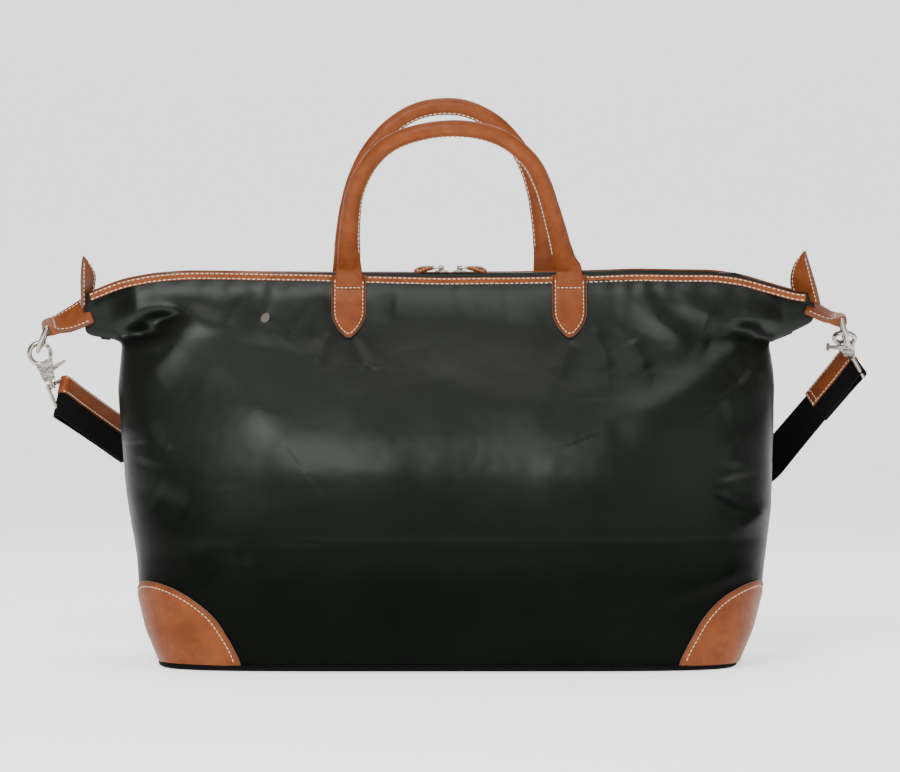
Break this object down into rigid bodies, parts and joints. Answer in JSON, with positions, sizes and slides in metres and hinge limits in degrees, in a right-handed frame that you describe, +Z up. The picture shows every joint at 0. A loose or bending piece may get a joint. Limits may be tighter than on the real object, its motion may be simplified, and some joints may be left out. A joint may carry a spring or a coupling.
{
  "type": "weekender bag",
  "caption": "Soft zipped weekender bag in dark satin nylon with tan leather trim, rolled carry handles, leather corner patches and a hooked-on webbing shoulder strap.",
  "frame": {"origin": "middle of the flat base, on the surface the bag stands on", "axes": "+X along the bag's length to the right seen from the front, -Y out of the front face, +Z up"},
  "size_m": [0.6836, 0.2412, 0.456],
  "materials": {
    "satin_nylon": "satin",
    "black_webbing": "matte",
    "zip_nylon": "satin",
    "lining_cloth": "matte",
    "tan_leather": "satin",
    "nickel": "polished",
    "spring_steel": "satin",
    "board_plastic": "matte",
    "rope_core": "matte"
  },
  "bodies": {
    "bag": {"front_panel": "satin_nylon", "back_panel": "satin_nylon", "base_panel": "satin_nylon", "lining": "lining_cloth", "base_board": "board_plastic", "base_piping": "black_webbing", "corner_patch_front_left": "tan_leather", "corner_patch_front_right": "tan_leather", "corner_patch_back_left": "tan_leather", "corner_patch_back_right": "tan_leather", "handle_tab_front_left": "tan_leather", "handle_tab_front_right": "tan_leather", "handle_tab_back_left": "tan_leather", "handle_tab_back_right": "tan_leather", "top_band_front": "tan_leather", "top_band_back": "tan_leather", "zip_tape_front": "black_webbing", "zip_tape_back": "black_webbing", "zip_coil_front": "zip_nylon", "zip_coil_back": "zip_nylon", "zip_stop_left": "nickel", "zip_stop_right": "nickel", "end_chape_left": "tan_leather", "end_chape_right": "tan_leather", "end_ear_left": "tan_leather", "end_ear_right": "tan_leather"},
    "front_handle": {"handle_cover_front": "tan_leather", "handle_core_front": "rope_core"},
    "back_handle": {"handle_cover_back": "tan_leather", "handle_core_back": "rope_core"},
    "left_slider": {"zip_slider_left": "nickel"},
    "left_pull": {"zip_link_left": "nickel", "zip_pull_left": "tan_leather"},
    "right_slider": {"zip_slider_right": "nickel"},
    "right_pull": {"zip_link_right": "nickel", "zip_pull_right": "tan_leather"},
    "left_d_ring": {"d_ring_left": "nickel"},
    "right_d_ring": {"d_ring_right": "nickel"},
    "strap": {"strap_webbing": "black_webbing", "strap_leather_left": "tan_leather", "strap_leather_right": "tan_leather", "hook_eye_left": "nickel", "hook_eye_right": "nickel"},
    "left_hook": {"hook_body_left": "nickel", "hook_rivet_left": "nickel", "hook_spring_left": "spring_steel"},
    "left_trigger": {"hook_trigger_left": "nickel"},
    "right_hook": {"hook_body_right": "nickel", "hook_rivet_right": "nickel", "hook_spring_right": "spring_steel"},
    "right_trigger": {"hook_trigger_right": "nickel"}
  },
  "joints": [
    {"name": "front_handle_swing", "type": "hinge", "parent": "bag", "child": "front_handle", "pos_m": [0, -0.017, 0.318], "axis": [1, 0, 0], "range_deg": [-33, 110]},
    {"name": "back_handle_swing", "type": "hinge", "parent": "bag", "child": "back_handle", "pos_m": [0, 0.017, 0.318], "axis": [1, 0, 0], "range_deg": [-138, 8]},
    {"name": "left_slider_slide", "type": "slide", "parent": "bag", "child": "left_slider", "axis": [1, 0, 0], "range_m": [-0.21, 0]},
    {"name": "left_pull_flip", "type": "hinge", "parent": "left_slider", "child": "left_pull", "pos_m": [-0.0055, 0, 0.3184], "axis": [0, 1, 0], "range_deg": [0, 100]},
    {"name": "right_slider_slide", "type": "slide", "parent": "bag", "child": "right_slider", "axis": [1, 0, 0], "range_m": [0, 0.205]},
    {"name": "right_pull_flip", "type": "hinge", "parent": "right_slider", "child": "right_pull", "pos_m": [0.0095, 0, 0.3184], "axis": [0, -1, 0], "range_deg": [0, 100]},
    {"name": "left_d_ring_swing", "type": "hinge", "parent": "bag", "child": "left_d_ring", "pos_m": [-0.3245, 0, 0.27], "axis": [0, 1, 0], "range_deg": [-4, 4]},
    {"name": "right_d_ring_swing", "type": "hinge", "parent": "bag", "child": "right_d_ring", "pos_m": [0.3184, 0, 0.276], "axis": [0, 1, 0], "range_deg": [-4, 4]},
    {"name": "strap_swing", "type": "hinge", "parent": "bag", "child": "strap", "pos_m": [-0.32672, 0, 0.26443], "axis": [1, 0, 0.0089], "range_deg": [0, 20]},
    {"name": "left_hook_swivel", "type": "hinge", "parent": "strap", "child": "left_hook", "pos_m": [-0.33067, 0, 0.24889], "axis": [-0.3419, 0, 0.9397], "range_deg": [-8, 8]},
    {"name": "left_trigger_pull", "type": "hinge", "parent": "left_hook", "child": "left_trigger", "pos_m": [-0.32413, 0, 0.23531], "axis": [0, 1, 0], "range_deg": [0, 32], "stiffness_Nm_per_rad": 0.05, "springref_deg": -17.19},
    {"name": "right_hook_swivel", "type": "hinge", "parent": "strap", "child": "right_hook", "pos_m": [0.32216, 0.01421, 0.26077], "axis": [-0.2501, -0.8002, 0.5451], "range_deg": [-8, 8]},
    {"name": "right_trigger_pull", "type": "hinge", "parent": "right_hook", "child": "right_trigger", "pos_m": [0.32447, 0.02662, 0.25252], "axis": [-0.1073, -0.5366, -0.837], "range_deg": [0, 32], "stiffness_Nm_per_rad": 0.05, "springref_deg": -17.19}
  ]
}
